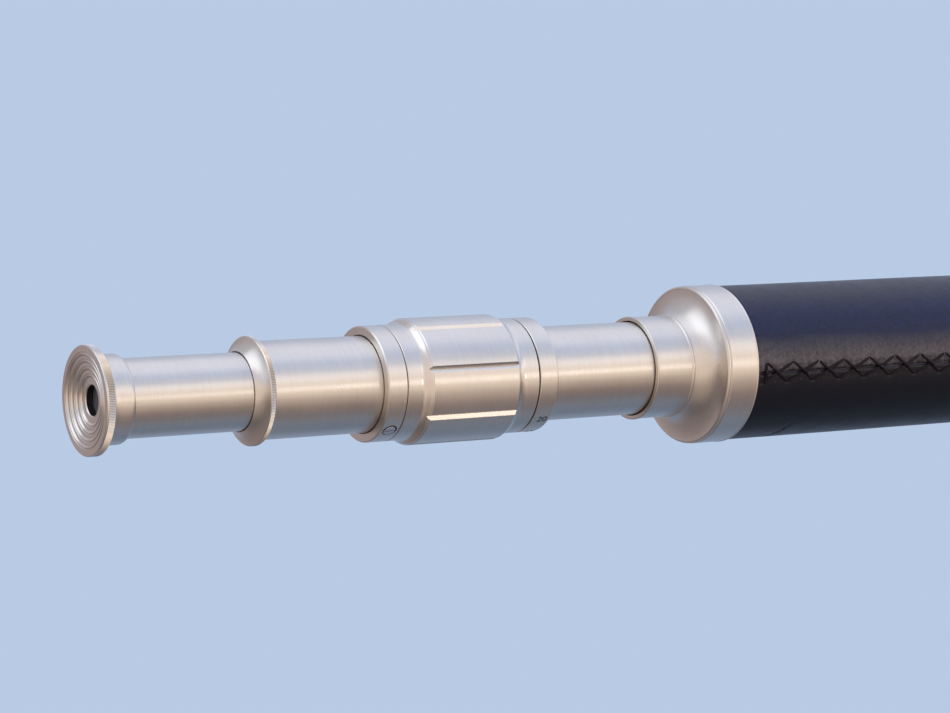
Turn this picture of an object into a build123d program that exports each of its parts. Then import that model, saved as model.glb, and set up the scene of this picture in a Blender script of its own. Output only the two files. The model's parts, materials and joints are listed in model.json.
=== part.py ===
"""Large draw telescope of the stand-mounted naval kind, as separate solids on one optical axis.

The optical axis runs along X: the eyepiece is at the negative end and the objective at the positive end.
Every piece is drawn about the X axis and lifted to AXIS_HEIGHT when it is written, so the row's origin is
the mouth of the tripod socket under the saddle. Outlines are (x, r) points: place along the axis, radius.
"""
from build123d import *
import math
import os

# ---- Driving dimensions, in millimetres ------------------------------------------------------------

AXIS_HEIGHT = 56.0          # optical axis above the mouth of the tripod socket
SEAT = 0.03                 # gap round pieces that are screwed or pressed together
RUNNING = 0.06              # gap round pieces that slide or turn

# Places along the axis, from the eye towards the sky
EYECUP_X = -552.2           # front face of the eyecup
EYECUP_RIM_X = -548.1       # back of its knurled rim
NECK_ROUND_X = -539.2       # where the eyecup's neck starts to round down
NECK_EDGE_X = -537.0        # sharp edge where the rounding ends
NECK_END_X = -536.4         # where the neck meets the eyepiece draw tube
BEZEL_X = -480.9            # mouth of the bezel
BEZEL_RIM_X = -476.3        # front of its knurled rim
BEZEL_END_X = -473.5        # back of the rim, where the main draw tube starts
COLLAR_X = -420.1           # front face of the front collar
GRIP_X = -410.3             # seam between the collar and the grip ring
LAND_X = -398.9             # start of the grip's raised lands
LAND_END_X = -354.3         # end of the lands
GRIP_END_X = -342.5         # seam between the grip ring and the scale ring
SCALE_END_X = -332.5        # back of the scale ring
SLEEVE_X = -277.7           # rolled lip of the rear ferrule's sleeve
FLARE_X = -256.6            # where the sleeve starts to flare
FERRULE_X = -247.2          # bead where the flare meets the ferrule's band
LEATHER_X = -230.0          # start of the leather
LEATHER_END_X = 360.0       # end of the leather
NECK_X = 372.0              # end of the front ferrule's band, where the dew shield seats
CELL_X = 425.0              # front of the front ferrule, where the objective cell seats
SHIELD_END_X = 450.0        # front of the dew shield when it is pushed back

# Radii
EYECUP_R = 23.6
NECK_R = 19.35
NECK_EDGE_R = 18.4
EYE_HOLE_R = 6.5
EYE_DRAW_R = 17.1
EYE_DRAW_WALL = 0.9
BEZEL_R = 23.9
MAIN_DRAW_R = 21.5
MAIN_DRAW_WALL = 1.0
GRIP_R = 25.8
LAND_R = 28.3
SCALE_R = 26.0
SLEEVE_R = 23.6
FERRULE_R = 37.0
LEATHER_R = 36.4
LEATHER_THICKNESS = 1.4
BARREL_WALL = 1.2
SHIELD_SEAT_R = 35.9
SHIELD_R = 37.3

# Knurls and grip grooves
KNURL_PITCH = 0.7
KNURL_DEPTH = 0.28
GROOVE_COUNT = 8
GROOVE_FIRST_ELEVATION = 16.0   # degrees above the horizontal on the near (-Y) side
GROOVE_WIDTH = 3.0
GROOVE_DEPTH = 1.15
GROOVE_DEEPEST = 0.42           # place of the deepest line, as a share of the width from the upper edge
RISE = 4.0                      # length of the rounded rise in front of the lands

# Stepped face of the eyecup: each step down has a rounded lip, set off by a shallow groove outside it
DISH_STEP_RADII = (19.3, 16.35, 13.2, 10.1)
DISH_STEP_DEPTH = 0.85
DISH_STEP_HALF_WIDTH = 0.55
DISH_GROOVE_WIDTH = 1.0
DISH_GROOVE_DEPTH = 0.32
EYECUP_PLATE = 3.2              # thickness of the wall round the eye hole
EYECUP_COVE = 4.0               # length of the hollow between the rim and the neck
EYECUP_COVE_RISE = 2.2
EYECUP_RIM_ROUND = 0.5

# Zoom drive: a pin on the erector carrier runs in a straight slot and in the grip's helical slot
ZOOM_LEAD = 48.0                # travel of the carrier per turn of the grip
ZOOM_TURN = 75.0                # degrees the grip turns each way from rest
PIN_X = -356.0
PIN_R = 1.5
CAM_R = 23.5
CAM_SLOT_GAP = 0.25             # each side of the pin, because the slot is cut in short straight steps
CAM_CUT = 8.0                   # height of the cutters, more than the sleeve's wall
CARRIER_X = -361.0
CARRIER_END_X = -285.0

# Leather seam, laced with crossed stitches
SEAM_ELEVATION = -3.0
STITCH_PITCH = 15.1
STITCH_HEIGHT = 9.4             # from the upper row of holes to the lower one, round the leather
STITCH_LAG = 0.2                # the lower holes lag behind the upper ones, as a share of the pitch
FIRST_HOLE = 4.8                # first upper hole, from the start of the leather
THREAD_R = 0.5

# Collar lock screw
SCREW_ELEVATION = -48.0
SCREW_X = -415.2
SCREW_HEAD_R = 2.9
SCREW_SHANK_R = 1.5
COUNTERBORE_R = 3.45
COUNTERBORE_DEPTH = 2.2

# Mounting saddle
SADDLE_LENGTH = 44.0
SADDLE_WALL = 3.4
STRAP_WALL = 2.2
EAR_REACH = 51.0
SADDLE_SCREW_Y = 44.5
SADDLE_SCREW_X = 13.0
FOOT_LENGTH = 40.0
FOOT_WIDTH = 32.0
SOCKET_R = 4.0                  # tapping-drill wall of a 3/8-16 tripod thread
SOCKET_DEPTH = 13.0

# Radii that follow
EYE_DRAW_BORE = EYE_DRAW_R - EYE_DRAW_WALL
MAIN_DRAW_BORE = MAIN_DRAW_R - MAIN_DRAW_WALL
BARREL_R = LEATHER_R - LEATHER_THICKNESS
BARREL_BORE = BARREL_R - BARREL_WALL
ZOOM_TRAVEL = ZOOM_LEAD * ZOOM_TURN / 360


# ---- Shared shapes ---------------------------------------------------------------------------------

def turned(outline):
    """A solid turned about the optical axis from a closed outline of (x, r) edges."""
    return revolve(make_face(outline), Axis.X)


def tube(x0, x1, r_in, r_out):
    """A plain tube or ring."""
    return turned(Polyline((x0, r_in), (x1, r_in), (x1, r_out), (x0, r_out), close=True))


def ring(x0, x1, r_in, r_out, bevel):
    """A ring with both of its outer edges bevelled."""
    outline = Polyline(
        (x0, r_in),
        (x1, r_in),
        (x1, r_out - bevel),
        (x1 - bevel, r_out),
        (x0 + bevel, r_out),
        (x0, r_out - bevel),
        close=True,
    )
    return turned(outline)


def around(shape, elevation):
    """Turns a shape drawn at the top (+Z) to an elevation above the horizontal on the near (-Y) side."""
    return Rot(X=90 - elevation) * shape


def peg(x, r_low, r_high, radius):
    """A radial cylinder at the top of the tube, from one radius to another."""
    return Pos(x, 0, (r_low + r_high) / 2) * Cylinder(radius, r_high - r_low)


def knurled(solid, x0, x1, radius):
    """Cuts a straight knurl of sharp teeth into a band of the solid."""
    teeth = round(2 * math.pi * radius / KNURL_PITCH)
    points = []
    for tooth in range(2 * teeth):
        r = radius if tooth % 2 == 0 else radius - KNURL_DEPTH
        angle = math.pi * tooth / teeth
        points.append((r * math.cos(angle), r * math.sin(angle)))
    star = make_face(Polyline(*points, close=True))
    band = Pos(x0, 0, 0) * extrude(Plane.YZ * star, x1 - x0)
    blank = tube(x0, x1, radius - 1, radius + 1)
    return solid - (blank - band)


def lens_side(x_centre, sag, radius):
    """One face of a lens, from the axis to its edge; the edge lies at x_centre - sag."""
    middle = (x_centre - sag / 4, radius / 2)
    return ThreePointArc((x_centre, 0), middle, (x_centre - sag, radius))


def lens(x_edge, edge, back_sag, front_sag, radius):
    """A lens from the back of its edge; a positive sag makes a side bulge and a negative one hollows it."""
    back_x = x_edge - back_sag
    front_x = x_edge + edge + front_sag
    front = lens_side(front_x, front_sag, radius)
    back = lens_side(back_x, -back_sag, radius)
    axis = Line((back_x, 0), (front_x, 0))
    rim = Line((x_edge + edge, radius), (x_edge, radius))
    return turned([axis, front, rim, back])


def seat_gap(sag, radius, seat_r):
    """How far a lens's edge stands off a flat seat whose inner radius touches the curved side."""
    return sag * (1 - (seat_r / radius) ** 2) + 0.02


# ---- Eyepiece draw ---------------------------------------------------------------------------------

def s_curve(start, end):
    """A curve that leaves one point and reaches the next along the radius."""
    middle = (start[1] + end[1]) / 2
    return Bezier(start, (start[0], middle), (end[0], middle), end)


def dished_face():
    """Edges of the eyecup's face, from the rim inwards, and the place where the face ends."""
    x = EYECUP_X
    point = (x, EYECUP_R - EYECUP_RIM_ROUND)
    edges = []
    for radius in DISH_STEP_RADII:
        lip = (x, radius + DISH_STEP_HALF_WIDTH)
        groove = (x + DISH_GROOVE_DEPTH, lip[1] + DISH_GROOVE_WIDTH / 2)
        shoulder = (x, lip[1] + DISH_GROOVE_WIDTH)
        foot = (x + DISH_STEP_DEPTH, radius - DISH_STEP_HALF_WIDTH)
        edges.append(Line(point, shoulder))
        edges.append(s_curve(shoulder, groove))
        edges.append(s_curve(groove, lip))
        edges.append(s_curve(lip, foot))
        point = foot
        x = foot[0]
    return edges, point


def eyecup():
    """Turned eyecup: a dished face that steps down to the eye hole, a knurled rim and a rounded neck."""
    edges, (x, radius) = dished_face()
    hole_round = 0.5
    bore = EYE_DRAW_R + SEAT
    inside = [
        (x, radius),
        (x, EYE_HOLE_R + hole_round),
        (x + hole_round, EYE_HOLE_R),
        (x + EYECUP_PLATE, EYE_HOLE_R),
        (x + EYECUP_PLATE, bore),
        (NECK_END_X, bore),
        (NECK_END_X, bore + 0.15),
        (NECK_EDGE_X, NECK_EDGE_R),
    ]
    edges.append(Polyline(*inside))
    edges.append(Bezier((NECK_EDGE_X, NECK_EDGE_R), (NECK_EDGE_X - 0.4, NECK_EDGE_R + 0.5),
                        (NECK_ROUND_X + 1.2, NECK_R), (NECK_ROUND_X, NECK_R)))
    cove_end = (EYECUP_RIM_X + EYECUP_COVE, NECK_R)
    cove_start = (EYECUP_RIM_X, NECK_R + EYECUP_COVE_RISE)
    edges.append(Line((NECK_ROUND_X, NECK_R), cove_end))
    edges.append(Bezier(cove_end, (cove_end[0] - 0.6 * EYECUP_COVE, NECK_R),
                        (EYECUP_RIM_X, NECK_R + 0.3 * EYECUP_COVE_RISE), cove_start))
    rim = [
        cove_start,
        (EYECUP_RIM_X, EYECUP_R - 0.3),
        (EYECUP_RIM_X - 0.3, EYECUP_R),
        (EYECUP_X + EYECUP_RIM_ROUND, EYECUP_R),
    ]
    edges.append(Polyline(*rim))
    middle = (EYECUP_X + 0.3 * EYECUP_RIM_ROUND, EYECUP_R - 0.3 * EYECUP_RIM_ROUND)
    edges.append(ThreePointArc(rim[-1], middle, (EYECUP_X, EYECUP_R - EYECUP_RIM_ROUND)))
    return knurled(turned(edges), EYECUP_X + 0.9, EYECUP_RIM_X, EYECUP_R)


EYECUP_PLATE_BACK = EYECUP_X + len(DISH_STEP_RADII) * DISH_STEP_DEPTH + EYECUP_PLATE
EYE_DRAW_X = EYECUP_PLATE_BACK + 0.1
EYE_DRAW_END_X = -430.0
EYE_LENS_R = 11.0
FIELD_LENS_R = 14.5
EYE_LENS_SEAT_X = EYE_DRAW_X + 5.0
FIELD_LENS_SEAT_X = -500.0
CELL_END_X = -490.0


def eyepiece_draw_tube():
    """Inner draw tube, which carries the eyepiece and slides in the bezel."""
    return tube(EYE_DRAW_X, EYE_DRAW_END_X, EYE_DRAW_BORE, EYE_DRAW_R)


def eyepiece_stop_ring():
    """Ring on the tube's inner end, which slides in the main draw tube and stops at the bezel."""
    return ring(EYE_DRAW_END_X - 6, EYE_DRAW_END_X, EYE_DRAW_R + SEAT, MAIN_DRAW_BORE - RUNNING, 0.4)


def eyepiece_cell():
    """Blackened barrel that holds the eye lens, the field stop and the field lens."""
    outer = EYE_DRAW_BORE - SEAT
    outline = Polyline(
        (EYE_DRAW_X, EYE_LENS_R + SEAT),
        (EYE_LENS_SEAT_X, EYE_LENS_R + SEAT),
        (EYE_LENS_SEAT_X, EYE_LENS_R - 1),
        (EYE_LENS_SEAT_X + 2.5, EYE_LENS_R - 1),
        (EYE_LENS_SEAT_X + 2.5, FIELD_LENS_R - 1),
        (FIELD_LENS_SEAT_X, FIELD_LENS_R - 1),
        (FIELD_LENS_SEAT_X, FIELD_LENS_R + SEAT),
        (CELL_END_X, FIELD_LENS_R + SEAT),
        (CELL_END_X, outer),
        (EYE_DRAW_X, outer),
        close=True,
    )
    return turned(outline)


def eye_lens():
    """Plano-convex eye lens, flat side to the eye."""
    back = EYE_DRAW_X + 0.1
    front = EYE_LENS_SEAT_X + 1.0
    sag = 1.6
    arc = lens_side(front, sag, EYE_LENS_R)
    sides = Polyline((front - sag, EYE_LENS_R), (back, EYE_LENS_R), (back, 0), (front, 0))
    return turned([arc, sides])


def field_stop():
    """Thin diaphragm that bounds the field of view."""
    middle = (EYE_LENS_SEAT_X + FIELD_LENS_SEAT_X) / 2
    return tube(middle, middle + 1, 8.0, FIELD_LENS_R - 1 - SEAT)


FIELD_LENS_SAG = 1.0
FIELD_LENS_FRONT_SAG = 1.6
FIELD_LENS_EDGE = 2.6
FIELD_LENS_X = FIELD_LENS_SEAT_X + seat_gap(FIELD_LENS_SAG, FIELD_LENS_R, FIELD_LENS_R - 1)


def field_lens():
    """Biconvex field lens."""
    return lens(FIELD_LENS_X, FIELD_LENS_EDGE, FIELD_LENS_SAG, FIELD_LENS_FRONT_SAG, FIELD_LENS_R)


def field_lens_ring():
    """Threaded ring that holds the field lens."""
    inner = FIELD_LENS_R - 1.8
    start = FIELD_LENS_X + FIELD_LENS_EDGE + seat_gap(FIELD_LENS_FRONT_SAG, FIELD_LENS_R, inner)
    return tube(start, start + 3, inner, FIELD_LENS_R - 0.02)


# ---- Main draw -------------------------------------------------------------------------------------

BUSH_R = EYE_DRAW_R + RUNNING + 0.9
BEZEL_NECK_END_X = -458.0


def draw_tube_bezel():
    """Knurled mouth of the main draw: a hollow flare, a knurled rim and a neck inside the tube."""
    mouth = EYE_DRAW_R + 0.4
    flare = ThreePointArc((BEZEL_X, mouth + 0.25), (-478.2, 20.1), (BEZEL_RIM_X, BEZEL_R - 0.4))
    body = Polyline(
        (BEZEL_RIM_X, BEZEL_R - 0.4),
        (BEZEL_RIM_X + 0.4, BEZEL_R),
        (BEZEL_END_X - 0.6, BEZEL_R),
        (BEZEL_END_X, BEZEL_R - 0.6),
        (BEZEL_END_X, MAIN_DRAW_BORE - SEAT),
        (BEZEL_NECK_END_X, MAIN_DRAW_BORE - SEAT),
        (BEZEL_NECK_END_X, BUSH_R + SEAT),
        (BEZEL_X + 2.2, BUSH_R + SEAT),
        (BEZEL_X + 2.2, mouth),
        (BEZEL_X, mouth),
        (BEZEL_X, mouth + 0.25),
    )
    return knurled(turned([flare, body]), BEZEL_RIM_X + 0.4, BEZEL_END_X, BEZEL_R)


def eyepiece_guide_bush():
    """Bush in the bezel's neck that the eyepiece draw tube slides in."""
    return tube(BEZEL_X + 2.3, BEZEL_NECK_END_X, EYE_DRAW_R + RUNNING, BUSH_R)


MAIN_DRAW_END_X = -150.0


def main_draw_tube():
    """Outer draw tube, with the straight slot that the follower pin runs in."""
    body = tube(BEZEL_END_X + 0.02, MAIN_DRAW_END_X, MAIN_DRAW_BORE, MAIN_DRAW_R)
    half = ZOOM_TRAVEL + 0.4
    width = 2 * (PIN_R + RUNNING)
    channel = Box(2 * half, width, 8)
    ends = [Pos(side * half, 0, 0) * Cylinder(width / 2, 8) for side in (-1, 1)]
    slot = Pos(PIN_X, 0, MAIN_DRAW_R) * (channel + ends)
    return body - slot


def front_collar():
    """Fixed collar in front of the grip ring: a relieved mouth and a counterbored hole for its screw."""
    body = ring(COLLAR_X, GRIP_X, MAIN_DRAW_R + SEAT, GRIP_R, 0.55)
    mouth = tube(COLLAR_X - 1, COLLAR_X + 3.5, MAIN_DRAW_R, MAIN_DRAW_R + 0.5)
    hole = peg(SCREW_X, MAIN_DRAW_R - 1, GRIP_R + 1, SCREW_SHANK_R + SEAT)
    counterbore = peg(SCREW_X, GRIP_R - COUNTERBORE_DEPTH, GRIP_R + 1, COUNTERBORE_R)
    return body - mouth - around(hole + counterbore, SCREW_ELEVATION)


def collar_lock_screw():
    """Slotted screw that locks the collar to the draw tube."""
    top = GRIP_R + 0.1
    shank = peg(SCREW_X, MAIN_DRAW_R + 0.2, top - 1, SCREW_SHANK_R)
    head = peg(SCREW_X, GRIP_R - COUNTERBORE_DEPTH, top, SCREW_HEAD_R)
    head = fillet(head.edges().sort_by(Axis.Z)[-1], 0.3)
    slot = Pos(SCREW_X, 0, top) * Rot(Z=10) * Box(8, 0.5, 1.2)
    return around(shank + head - slot, SCREW_ELEVATION)


SCALE_TICKS = 11
SCALE_SPAN = 150.0                  # degrees of the scale, as far as the grip turns
SCALE_MIDDLE_ELEVATION = -121.0     # the scale runs round the underside
INDEX_MARK = 3.0                    # length of the line on the grip that points at the scale
LONG_TICK = 1.6
SHORT_TICK = 1.0


def scale_ring():
    """Fixed ring behind the grip, with an engraved scale and a rounded back edge."""
    round_r = 1.2
    start = GRIP_END_X + 0.25
    middle = (SCALE_END_X - 0.3 * round_r, SCALE_R - 0.3 * round_r)
    back_round = ThreePointArc((SCALE_END_X - round_r, SCALE_R), middle, (SCALE_END_X, SCALE_R - round_r))
    rest = Polyline(
        (SCALE_END_X, SCALE_R - round_r),
        (SCALE_END_X, MAIN_DRAW_R + SEAT),
        (start, MAIN_DRAW_R + SEAT),
        (start, SCALE_R - 0.3),
        (start + 0.3, SCALE_R),
        (SCALE_END_X - round_r, SCALE_R),
    )
    body = turned([back_round, rest])
    for tick in range(SCALE_TICKS):
        elevation = SCALE_MIDDLE_ELEVATION + SCALE_SPAN * (tick / (SCALE_TICKS - 1) - 0.5)
        length = LONG_TICK if tick % 2 == 0 else SHORT_TICK
        mark = Pos(start + length / 2, 0, SCALE_R) * Box(length, 0.3, 0.4)
        body -= around(mark, elevation)
    return body


def main_draw_stop_ring():
    """Large ring on the draw's inner end, which slides in the barrel and stops at the guide tube."""
    body = ring(MAIN_DRAW_END_X - 8, MAIN_DRAW_END_X, MAIN_DRAW_R + SEAT, BARREL_BORE - 0.08, 0.5)
    groove = tube(MAIN_DRAW_END_X - 5, MAIN_DRAW_END_X - 3, BARREL_BORE - 1.5, BARREL_BORE)
    return body - groove


def main_draw_diaphragm():
    """Blackened glare stop in the draw's inner end."""
    return tube(MAIN_DRAW_END_X - 6, MAIN_DRAW_END_X - 4.5, 13.0, MAIN_DRAW_BORE - SEAT)


# ---- Grip and zoom drive ---------------------------------------------------------------------------

def groove_cutter():
    """One grip groove at the top: a lopsided V, deepest near its upper edge, that runs out at both ends."""
    upper = GROOVE_WIDTH / 2
    deepest = upper - GROOVE_DEEPEST * GROOVE_WIDTH
    floor = LAND_R - GROOVE_DEPTH
    rim = math.sqrt(LAND_R ** 2 - upper ** 2)
    profile = Polyline((upper, rim), (upper, LAND_R + 1), (-upper, LAND_R + 1), (-upper, rim),
                       (deepest, floor), close=True)
    face = Plane.YZ * make_face(profile)
    start = LAND_X - 4
    return Pos(start, 0, 0) * extrude(face, LAND_END_X + 4 - start)


def grip_ring():
    """Fluted grip that the hand turns: raised lands between two plain cylinders, with eight grooves."""
    start = GRIP_X + 0.15
    end = GRIP_END_X - 0.3
    land_top = LAND_R - 0.35
    foot = (LAND_X - RISE, GRIP_R)
    rise = Bezier(foot, (LAND_X - 0.45 * RISE, GRIP_R), (LAND_X - 0.3 * RISE, land_top), (LAND_X, land_top))
    front_edge = Line((LAND_X, land_top), (LAND_X + 0.5, LAND_R))
    back_edge = ThreePointArc((LAND_END_X - 0.8, LAND_R), (LAND_END_X - 0.25, LAND_R - 0.2),
                              (LAND_END_X, land_top - 0.25))
    fall = ThreePointArc((LAND_END_X, land_top - 0.25), (LAND_END_X + 1.5, SCALE_R + 0.55),
                         (LAND_END_X + 5.0, SCALE_R))
    front = Polyline(
        foot,
        (start + 0.25, GRIP_R),
        (start, GRIP_R - 0.25),
        (start, CAM_R + SEAT),
        (end, CAM_R + SEAT),
        (end, SCALE_R - 0.4),
        (end - 0.4, SCALE_R),
        (LAND_END_X + 5.0, SCALE_R),
    )
    land = Line((LAND_X + 0.5, LAND_R), (LAND_END_X - 0.8, LAND_R))
    body = turned([front, rise, front_edge, land, back_edge, fall])
    for index in range(GROOVE_COUNT):
        elevation = GROOVE_FIRST_ELEVATION + 360 * index / GROOVE_COUNT
        body -= around(groove_cutter(), elevation)
    mark = Pos(end - INDEX_MARK / 2, 0, SCALE_R) * Box(INDEX_MARK, 0.35, 0.5)
    return body - around(mark, SCALE_MIDDLE_ELEVATION)


def cam_sleeve():
    """Sleeve inside the grip ring, with the helical slot that drives the follower pin."""
    body = tube(GRIP_X + 0.4, GRIP_END_X - 0.7, MAIN_DRAW_R + RUNNING, CAM_R)
    lead_per_degree = ZOOM_LEAD / 360
    steps = 26
    reach = ZOOM_TURN + 3
    step = 2 * reach / steps
    slot_width = 2 * (PIN_R + CAM_SLOT_GAP)
    chord = CAM_R * math.radians(step)
    slant = math.degrees(math.atan2(lead_per_degree * step, chord))
    length = math.hypot(lead_per_degree * step, chord)
    for index in range(steps + 1):
        angle = -reach + step * index
        place = Pos(PIN_X - lead_per_degree * angle, 0, CAM_R)
        body -= Rot(X=angle) * place * Cylinder(slot_width / 2, CAM_CUT)
        if index < steps:
            middle = angle + step / 2
            place = Pos(PIN_X - lead_per_degree * middle, 0, CAM_R)
            body -= Rot(X=middle) * place * Rot(Z=-slant) * Box(slot_width, length, CAM_CUT)
    return body


ERECTOR_LENS_R = 17.5
ERECTOR_SEAT = 9.0              # depth of each lens seat from the carrier's end
ERECTOR_INNER_SAG = 1.2
ERECTOR_OUTER_SAG = 1.6
ERECTOR_EDGE = 2.6
ERECTOR_GAP = seat_gap(ERECTOR_INNER_SAG, ERECTOR_LENS_R, ERECTOR_LENS_R - 1)


def erector_carrier():
    """Tube that carries the two erecting lenses and slides in the main draw tube."""
    wall = MAIN_DRAW_BORE - RUNNING
    seat = ERECTOR_LENS_R + SEAT
    rear_seat_x = CARRIER_X + ERECTOR_SEAT
    front_seat_x = CARRIER_END_X - ERECTOR_SEAT
    outline = Polyline(
        (CARRIER_X, seat),
        (rear_seat_x, seat),
        (rear_seat_x, ERECTOR_LENS_R - 1),
        (front_seat_x, ERECTOR_LENS_R - 1),
        (front_seat_x, seat),
        (CARRIER_END_X, seat),
        (CARRIER_END_X, wall),
        (CARRIER_X, wall),
        close=True,
    )
    hole = peg(PIN_X, ERECTOR_LENS_R + 0.8, wall + 1, PIN_R + SEAT)
    return turned(outline) - hole


def follower_pin():
    """Pin from the carrier through the straight slot into the helical slot."""
    return peg(PIN_X, ERECTOR_LENS_R + 1.0, CAM_R - 0.2, PIN_R)


def erector_rear_lens():
    """Erecting lens at the eye end of the carrier."""
    edge_x = CARRIER_X + ERECTOR_SEAT - ERECTOR_GAP - ERECTOR_EDGE
    return lens(edge_x, ERECTOR_EDGE, ERECTOR_OUTER_SAG, ERECTOR_INNER_SAG, ERECTOR_LENS_R)


def erector_front_lens():
    """Erecting lens at the sky end of the carrier."""
    edge_x = CARRIER_END_X - ERECTOR_SEAT + ERECTOR_GAP
    return lens(edge_x, ERECTOR_EDGE, ERECTOR_INNER_SAG, ERECTOR_OUTER_SAG, ERECTOR_LENS_R)


def erector_lens_rings():
    """The two threaded rings that hold the erecting lenses."""
    inner = ERECTOR_LENS_R - 1.5
    outer = ERECTOR_LENS_R - 0.02
    depth = ERECTOR_SEAT - ERECTOR_GAP - ERECTOR_EDGE - seat_gap(ERECTOR_OUTER_SAG, ERECTOR_LENS_R, inner)
    rear = tube(CARRIER_X + depth - 2.5, CARRIER_X + depth, inner, outer)
    front = tube(CARRIER_END_X - depth, CARRIER_END_X - depth + 2.5, inner, outer)
    return Compound([rear, front])


def erector_stop():
    """Aperture stop between the erecting lenses."""
    middle = (CARRIER_X + CARRIER_END_X) / 2
    return tube(middle, middle + 1.2, 5.0, ERECTOR_LENS_R - 1 - SEAT)


# ---- Barrel ----------------------------------------------------------------------------------------

GUIDE_BORE = MAIN_DRAW_R + RUNNING
GUIDE_R = GUIDE_BORE + 0.9
GUIDE_X = SLEEVE_X + 6              # out of sight, deep inside the sleeve's mouth
GUIDE_END_X = -205.0
BARREL_X = -243.9
SLEEVE_BEAD = 1.8                   # widths of the beads where the sleeve and the band end
EDGE_BEAD = 1.0


def rear_ferrule():
    """Spun rear ferrule: a sleeve with a rolled lip, a bead, a hollow flare, a second bead and a band."""
    lip = 0.6
    lip_roll = ThreePointArc((SLEEVE_X + 2 * lip, SLEEVE_R), (SLEEVE_X + 0.9 * lip, SLEEVE_R + 0.35),
                             (SLEEVE_X, SLEEVE_R - 0.35))
    bead_x = FLARE_X - SLEEVE_BEAD
    bead_top = (bead_x + SLEEVE_BEAD / 2, SLEEVE_R + 0.5)
    sleeve_bead = ThreePointArc((bead_x, SLEEVE_R), bead_top, (FLARE_X, SLEEVE_R))
    flare_end = (FERRULE_X - 0.2, FERRULE_R - 1.7)
    flare = ThreePointArc((FLARE_X, SLEEVE_R), (FLARE_X + 6.4, SLEEVE_R + 4.3), flare_end)
    groove = (FERRULE_X + 1.7, FERRULE_R - 0.4)
    rim_bead = ThreePointArc(flare_end, (FERRULE_X + 0.45, FERRULE_R - 0.2), groove)
    edge_x = LEATHER_X - EDGE_BEAD
    edge_middle = (edge_x + EDGE_BEAD / 2, FERRULE_R + 0.2)
    edge_bead = ThreePointArc((edge_x, FERRULE_R), edge_middle, (LEATHER_X, FERRULE_R - 0.3))
    band = Polyline(groove, (FERRULE_X + 2.1, FERRULE_R), (edge_x, FERRULE_R))
    inside = Polyline(
        (LEATHER_X, FERRULE_R - 0.3),
        (LEATHER_X, BARREL_R + SEAT),
        (BARREL_X - 0.1, BARREL_R + SEAT),
        (BARREL_X - 0.1, GUIDE_R + 1.2),
        (BARREL_X + 6, GUIDE_R + 1.2),
        (BARREL_X + 6, GUIDE_R + SEAT),
        (GUIDE_X - 0.1, GUIDE_R + SEAT),
        (GUIDE_X - 0.1, GUIDE_R - 0.35),
        (SLEEVE_X, GUIDE_R - 0.35),
        (SLEEVE_X, SLEEVE_R - 0.35),
    )
    sleeve = Line((SLEEVE_X + 2 * lip, SLEEVE_R), (bead_x, SLEEVE_R))
    return turned([lip_roll, sleeve, sleeve_bead, flare, rim_bead, band, edge_bead, inside])


def draw_guide_tube():
    """Long guide inside the ferrule that the main draw tube slides in."""
    return tube(GUIDE_X, GUIDE_END_X, GUIDE_BORE, GUIDE_R)


def barrel_tube():
    """Main brass tube of the barrel."""
    return tube(BARREL_X, NECK_X, BARREL_BORE, BARREL_R)


def leather_wrap():
    """Leather sheath with a butt seam along the near side."""
    body = tube(LEATHER_X + SEAT, LEATHER_END_X - SEAT, BARREL_R + SEAT, LEATHER_R)
    length = LEATHER_END_X - LEATHER_X
    cut = Rot(X=45) * Box(length, 0.7, 0.7)
    return body - around(Pos(LEATHER_X + length / 2, 0, LEATHER_R) * cut, SEAM_ELEVATION)


def stitch(start_x, end_x):
    """One stroke of thread from a lower hole to an upper one, over the leather between them."""
    half_angle = math.degrees(STITCH_HEIGHT / 2 / LEATHER_R)
    over = LEATHER_R + 0.35 * THREAD_R
    under = LEATHER_R - 0.55
    points = []
    for side, x, radius in ((-1, start_x, under), (0, (start_x + end_x) / 2, over), (1, end_x, under)):
        place = Rot(X=-side * half_angle) * Pos(x, 0, radius)
        points.append(place.position)
    path = ThreePointArc(*points)
    section = Plane(origin=path @ 0, z_dir=path % 0)
    return sweep(section * Circle(THREAD_R), path)


def seam_thread():
    """Crossed lacing along the leather's seam: strokes share their holes, two strokes to each cross."""
    count = int((LEATHER_END_X - LEATHER_X - 2 * FIRST_HOLE) / STITCH_PITCH)
    inset = 1.2 * THREAD_R          # keeps the solids of strokes that share a hole apart
    strokes = []
    for index in range(count):
        upper = LEATHER_X + FIRST_HOLE + STITCH_PITCH * index
        lower = upper - STITCH_LAG * STITCH_PITCH
        rising = stitch(lower + inset, upper + STITCH_PITCH - inset)
        falling = stitch(lower + STITCH_PITCH - inset, upper + inset)
        strokes += [around(rising, SEAM_ELEVATION), around(falling, SEAM_ELEVATION)]
    return Compound(strokes)


REAR_BAFFLE = (40.0, 21.0)          # place and aperture radius
FRONT_BAFFLE = (220.0, 26.5)


def barrel_baffle(x, aperture):
    """Blackened ring that stops glare inside the barrel."""
    return tube(x, x + 1.5, aperture, BARREL_BORE - SEAT)


def front_ferrule():
    """Front ferrule: a band that ends the leather and a neck that the dew shield slides on."""
    bead = 0.5
    outline = Polyline(
        (LEATHER_END_X, BARREL_R + SEAT),
        (NECK_X + 0.1, BARREL_R + SEAT),
        (NECK_X + 0.1, BARREL_BORE),
        (CELL_X, BARREL_BORE),
        (CELL_X, SHIELD_SEAT_R),
        (NECK_X, SHIELD_SEAT_R),
        (NECK_X, FERRULE_R - bead),
        (NECK_X - bead, FERRULE_R),
        (LEATHER_END_X + bead, FERRULE_R),
        (LEATHER_END_X, FERRULE_R - bead),
        close=True,
    )
    return turned(outline)


OBJECTIVE_R = 31.0
OBJECTIVE_SEAT_X = CELL_X - 20


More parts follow.
